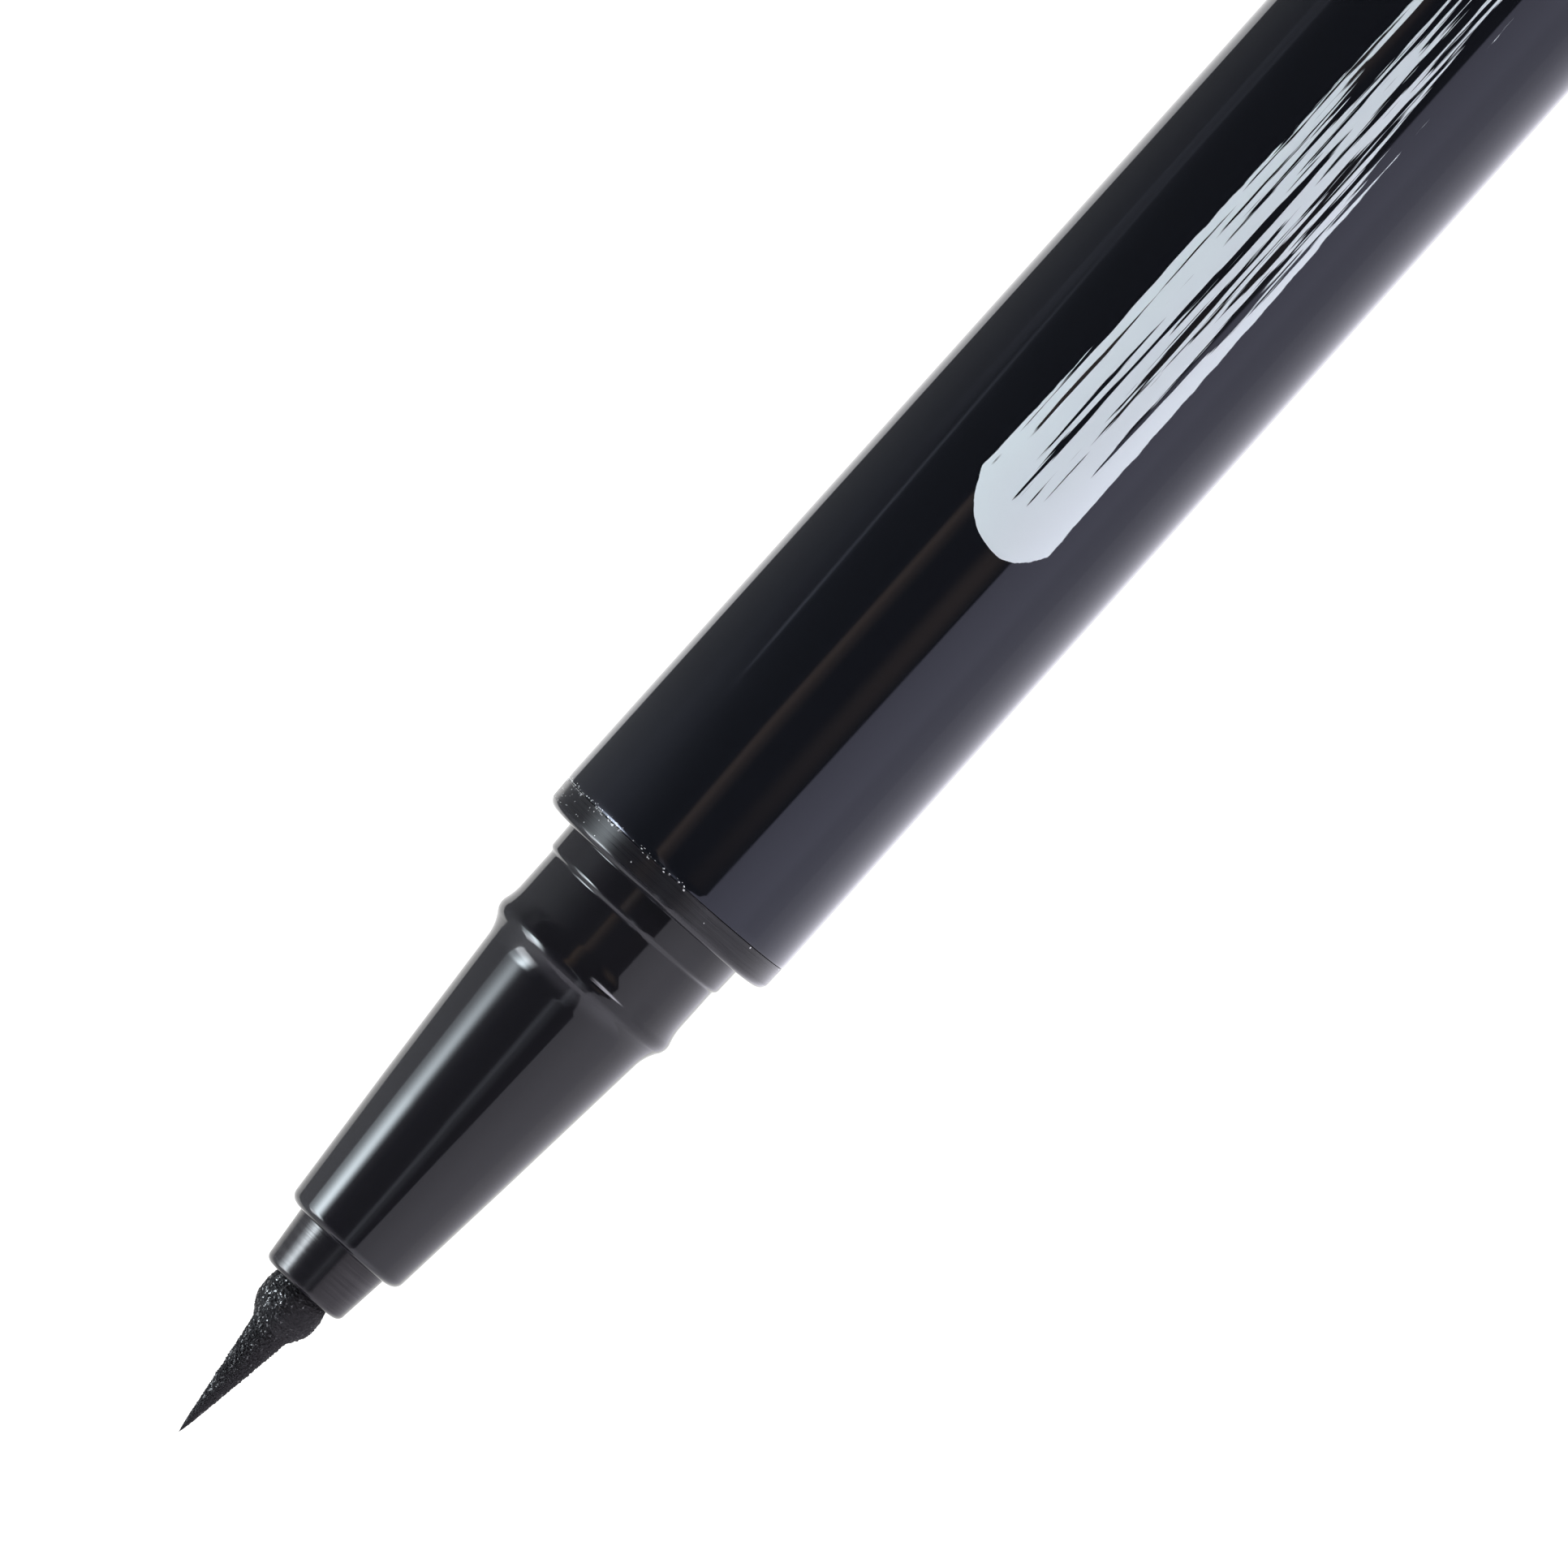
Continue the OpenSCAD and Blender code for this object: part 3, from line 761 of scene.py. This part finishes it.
class Glow(Nodes):
    """An emission whose brightness is worked out from the place on the studio card."""

    def __init__(self, name):
        super().__init__(name)
        self.tree.nodes.remove(self.shader)
        self.emission = self.add("ShaderNodeEmission")
        self.join(self.emission.outputs[0], self.tree.nodes["Material Output"].inputs["Surface"])
        x, y, z = self.axes()
        self.along = self.times(self.minus(x, BRUSH_TIP_X), 1 / MM)
        self.side = self.times(y, -1 / MM)
        self.height = self.times(self.minus(z, AXIS_Z), 1 / MM)
        turn = self.math("ARCTAN2", self.side, self.height)
        self.angle = self.times(turn, 180 / math.pi)

    def band(self, centre, half_width, soft):
        """1 where the angle is within half_width of centre, with soft borders."""
        off = self.math("ABSOLUTE", self.minus(self.angle, centre))
        return self.span(off, half_width + soft, half_width - soft)

    def show(self, *parts):
        """Adds up parts of (brightness, colour)."""
        total = None
        for brightness, colour in parts:
            part = self.add("ShaderNodeVectorMath", operation="SCALE")
            part.inputs[0].default_value = colour
            if isinstance(brightness, (int, float)):
                part.inputs["Scale"].default_value = brightness
            else:
                self.join(brightness, part.inputs["Scale"])
            if total is None:
                total = part.outputs[0]
                continue
            both = self.add("ShaderNodeVectorMath", operation="ADD")
            self.join(total, both.inputs[0])
            self.join(part.outputs[0], both.inputs[1])
            total = both.outputs[0]
        self.join(total, self.emission.inputs["Color"])
        return self.material

    def line_along(self, at_tip, per_mm, until=60):
        """An angle that changes evenly along the pen, up to a station, and then stays constant."""
        reached = self.span(self.along, -30, until, -30, until)
        return self.plus(self.times(reached, per_mm), at_tip)

    def beyond_front(self, amount):
        """1 beside the pen's front, and amount beside the barrel."""
        change = self.minus(amount, 1.0)
        shown = self.times(change, self.span(self.along, 12, 26))
        return self.plus(shown, 1.0)


# Tints of the studio's light
DARK = (0.94, 1.0, 1.12)
WALL = (1.02, 1.0, 1.13)
COOL = (0.96, 1.0, 1.06)
STRIP = (0.88, 1.0, 1.07)
WARM = (1.4, 1.0, 0.66)
BOUNCE = (1.0, 0.985, 1.09)


def side_glow(glow):
    """The left side brightens towards the brush."""
    return glow.ramp(glow.along, [(-20, 1.1), (9, 0.62), (20, 0.42), (34, 0.22), (60, 0.2)])


def right_wall(glow):
    """The white right wall, whose upper border leans along the pen."""
    upper_edge = glow.line_along(25.6, 0.204)
    past_edge = glow.span(glow.minus(glow.angle, upper_edge), -0.6, 0.6)
    wall = glow.ramp(glow.angle, [(15, 0.8), (35, 0.87), (45, 0.96), (60, 1.04), (90, 1.0)])
    low_wall = glow.ramp(glow.angle, [(60, 1.0), (67, 1.02), (75, 0.9), (92, 0.88)])
    return glow.times(past_edge, glow.times(wall, glow.beyond_front(low_wall)))


def left_wall(glow):
    """The dim left wall, steeper beside the barrel's far half, with a bright rim low down."""
    slope = glow.ramp(glow.angle, [
        (-90, 1.0), (-80, 0.85), (-70, 0.67), (-62, 0.44), (-50, 0.18), (-40, 0.0),
    ])
    steeper = glow.span(glow.along, 24, 74, 1.0, 6.0)
    wall = glow.times(glow.math("POWER", slope, steeper), 0.78)
    rim_reach = glow.span(glow.along, 42, 54, 0.0, 0.55)
    rim = glow.times(glow.span(glow.angle, -80, -84), rim_reach)
    return glow.times(glow.plus(wall, rim), side_glow(glow))


def brush_strip(glow):
    """A strip low on the left, ahead of the brush, that fades far out."""
    strength = 20.0
    near_along = glow.span(glow.along, -30, 60, -30, 60)
    lean = glow.times(glow.plus(near_along, 12), 0.22)
    across = glow.ramp(glow.plus(glow.angle, lean), [
        (-110, 0.05), (-100, 0.08), (-90, 0.16), (-85, 0.27), (-80, 0.5), (-75, 0.82), (-71, 1.0),
        (-67, 0.8), (-63, 0.36), (-60, 0.12), (-56, 0.0),
    ])
    nearness = glow.math("POWER", glow.span(glow.along, 18, -24), 2.4)
    fade = glow.span(glow.along, -105, -40)
    return glow.times(across, nearness, fade, strength)


def overhead_slits(glow):
    """Two cold slits overhead by the brush, and a warm one along the first beside the barrel."""
    slit_angle = glow.line_along(-10.4, -0.383, 30)
    slit = glow.band(slit_angle, 3.0, 1.8)
    second_slit = glow.band(glow.line_along(-4.4, -0.383), 3.5, 3.0)
    cold_slit = glow.times(slit, glow.span(glow.along, 18, -2, 0.0, 0.6))
    cold_second = glow.times(second_slit, glow.span(glow.along, 10, -8, 0.0, 0.28))
    off_slit = glow.minus(glow.angle, slit_angle)
    one_sided = glow.ramp(off_slit, [(-5, 0), (-2, 1), (-0.5, 1), (3, 0.5), (9.5, 0)])
    warm_slit = glow.times(one_sided, glow.span(glow.along, -2, 24, 0.0, 0.36))
    return (cold_slit, DARK), (cold_second, DARK), (warm_slit, WARM)


def wall_fringe(glow):
    """A faint warm fringe above the right wall's upper border, beside the barrel."""
    begins = glow.span(glow.along, 18, 40, 0.0, 0.21)
    ends = glow.span(glow.along, 68, 52)
    fringe = glow.band(glow.line_along(12.8, 0.204), 7.5, 4.5)
    return glow.times(fringe, glow.times(begins, ends))


def thin_edge(glow):
    """A thin line of light on the left, beside the barrel."""
    begins = glow.span(glow.along, 29.5, 34, 0.0, 0.8)
    dims = glow.span(glow.along, 60, 36, 0.25, 1.0)
    line = glow.band(glow.line_along(-54.5, -0.46), 0.8, 1.6)
    return glow.times(line, glow.times(begins, dims))


def left_box(glow):
    """A box of light far ahead of the brush, low on the left."""
    strength = 6.0
    reach = glow.times(glow.span(glow.along, -50, -65), glow.span(glow.along, -125, -110))
    return glow.times(glow.band(-80, 20, 8), reach, strength)


def far_lamp(glow):
    """A lamp above the felt end's cap, to its right."""
    strength = 9.0
    reach = glow.times(glow.span(glow.along, 109, 113), glow.span(glow.along, 130, 122))
    return glow.times(glow.band(33, 18, 8), reach, strength)


def tent_glow():
    """A half-round tent: dark overhead, white on the right and dim on the left, with its lights."""
    glow = Glow("tent_glow")
    overhead = 0.080
    beyond = glow.span(glow.along, -60, -150, 0.0, 0.38)
    return glow.show(
        (overhead, DARK), (right_wall(glow), WALL), (beyond, WALL), (left_wall(glow), COOL),
        (brush_strip(glow), STRIP), (thin_edge(glow), COOL), (left_box(glow), COOL),
        *overhead_slits(glow), (wall_fringe(glow), WARM), (far_lamp(glow), WALL),
    )


def end_glow():
    """The tent's ends: white near the floor, dark above."""
    glow = Glow("end_glow")
    return glow.show((glow.span(glow.height, 190, 130, 0.5, 1.3), WALL))


def flag_glow():
    """A dim sheet over the floor on the left, brighter towards the brush and away from the pen."""
    glow = Glow("flag_glow")
    outwards = glow.ramp(glow.side, [(-60, 1.1), (-22, 1.1), (-14, 0.9), (-9, 0.66)])
    return glow.show((glow.times(outwards, side_glow(glow)), COOL))


def bounce_glow():
    """The floor on the right as the pen mirrors it: brighter under the barrel, dimmer far out."""
    glow = Glow("bounce_glow")
    outwards = glow.ramp(glow.side, [
        (7, 1.41), (10, 1.32), (12, 1.25), (15, 1.17), (19, 1.08), (26, 1.03), (37, 0.95), (63, 0.92),
    ])
    return glow.show((glow.times(glow.beyond_front(outwards), BOUNCE_WHITE), BOUNCE))


def plain_glow(name, brightness):
    return Glow(name).show((brightness, (1, 1, 1)))


def studio_piece(name, verts, faces, material, seen=False):
    """A surface of the studio, in millimetres from the point under the brush's tip."""
    places = [(BRUSH_TIP_X + x * MM, y * MM, z * MM) for x, y, z in verts]
    thing = new_piece(name, places, faces, [material])
    thing.visible_camera = seen
    return thing


def sheet(name, x0, x1, y0, y1, z, material, seen=False):
    """A flat rectangle of the studio."""
    corners = [(x0, y0, z), (x1, y0, z), (x1, y1, z), (x0, y1, z)]
    return studio_piece(name, corners, [(0, 1, 2, 3)], material, seen)


def make_tent(sides=96):
    """The half-round tent and its two ends, open below."""
    axis = AXIS_Z / MM
    arch = [(-TENT_R * math.sin(a), axis + TENT_R * math.cos(a))
            for a in np.linspace(math.radians(-92), math.radians(92), sides + 1)]
    verts = [(x, y, z) for x in TENT_ENDS for y, z in arch]
    row = len(arch)
    faces = [(i, i + 1, row + i + 1, row + i) for i in range(sides)]
    studio_piece("tent", verts, faces, tent_glow())
    for x in TENT_ENDS:
        studio_piece("tent_end", [(x, y, z) for y, z in arch], [tuple(range(row))], end_glow())


def make_left_flag():
    """The dim sheet on the left, whose inner edge draws back from the barrel."""
    near, far, height = 9.05, 10.5, 0.4
    draws_from, draws_to = 26, 64
    first, last = TENT_ENDS
    inner = [(first, near), (draws_from, near), (draws_to, far), (last, far)]
    outline = inner + [(last, TENT_R), (first, TENT_R)]
    corners = [(x, y, height) for x, y in outline]
    studio_piece("left_flag", corners, [tuple(range(len(corners)))], flag_glow())


def make_floor():
    """The white floor that the camera sees, and the sheet that the pen mirrors on its right."""
    reach, floor_z = 3500.0, -0.02
    bounce_from, bounce_z = -6.5, -0.01
    floor_white = plain_glow("floor_white", FLOOR_WHITE)
    sheet("floor", -reach, reach, -reach, reach, floor_z, floor_white, True)
    sheet("right_bounce", *TENT_ENDS, -TENT_R, bounce_from, bounce_z, bounce_glow())


def make_backdrop(rings=24, sides=48, radius=3900.0):
    """A white ball round the studio that only the camera sees."""
    verts, faces = [], []
    for i in range(rings + 1):
        polar = math.pi * i / rings
        for j in range(sides):
            turn = 2 * math.pi * j / sides
            across = radius * math.sin(polar)
            verts.append((across * math.cos(turn), across * math.sin(turn), radius * math.cos(polar)))
    for i in range(rings):
        for j in range(sides):
            a, b = i * sides + j, i * sides + (j + 1) % sides
            faces.append((a, b, b + sides, a + sides))
    ball = studio_piece("backdrop", verts, faces, plain_glow("backdrop_white", FLOOR_WHITE), True)
    ball.visible_diffuse = ball.visible_glossy = ball.visible_transmission = False
    ball.visible_volume_scatter = ball.visible_shadow = False


def make_world():
    """A dim grey beyond the tent."""
    world = bpy.data.worlds.new("studio")
    world.use_nodes = True
    world.node_tree.nodes["Background"].inputs["Color"].default_value = (0.1, 0.1, 0.11, 1)
    bpy.context.scene.world = world


make_floor()
make_left_flag()
make_tent()
make_backdrop()
make_world()

bpy.context.scene.view_settings.view_transform = "Standard"
bpy.context.scene.view_settings.look = "None"
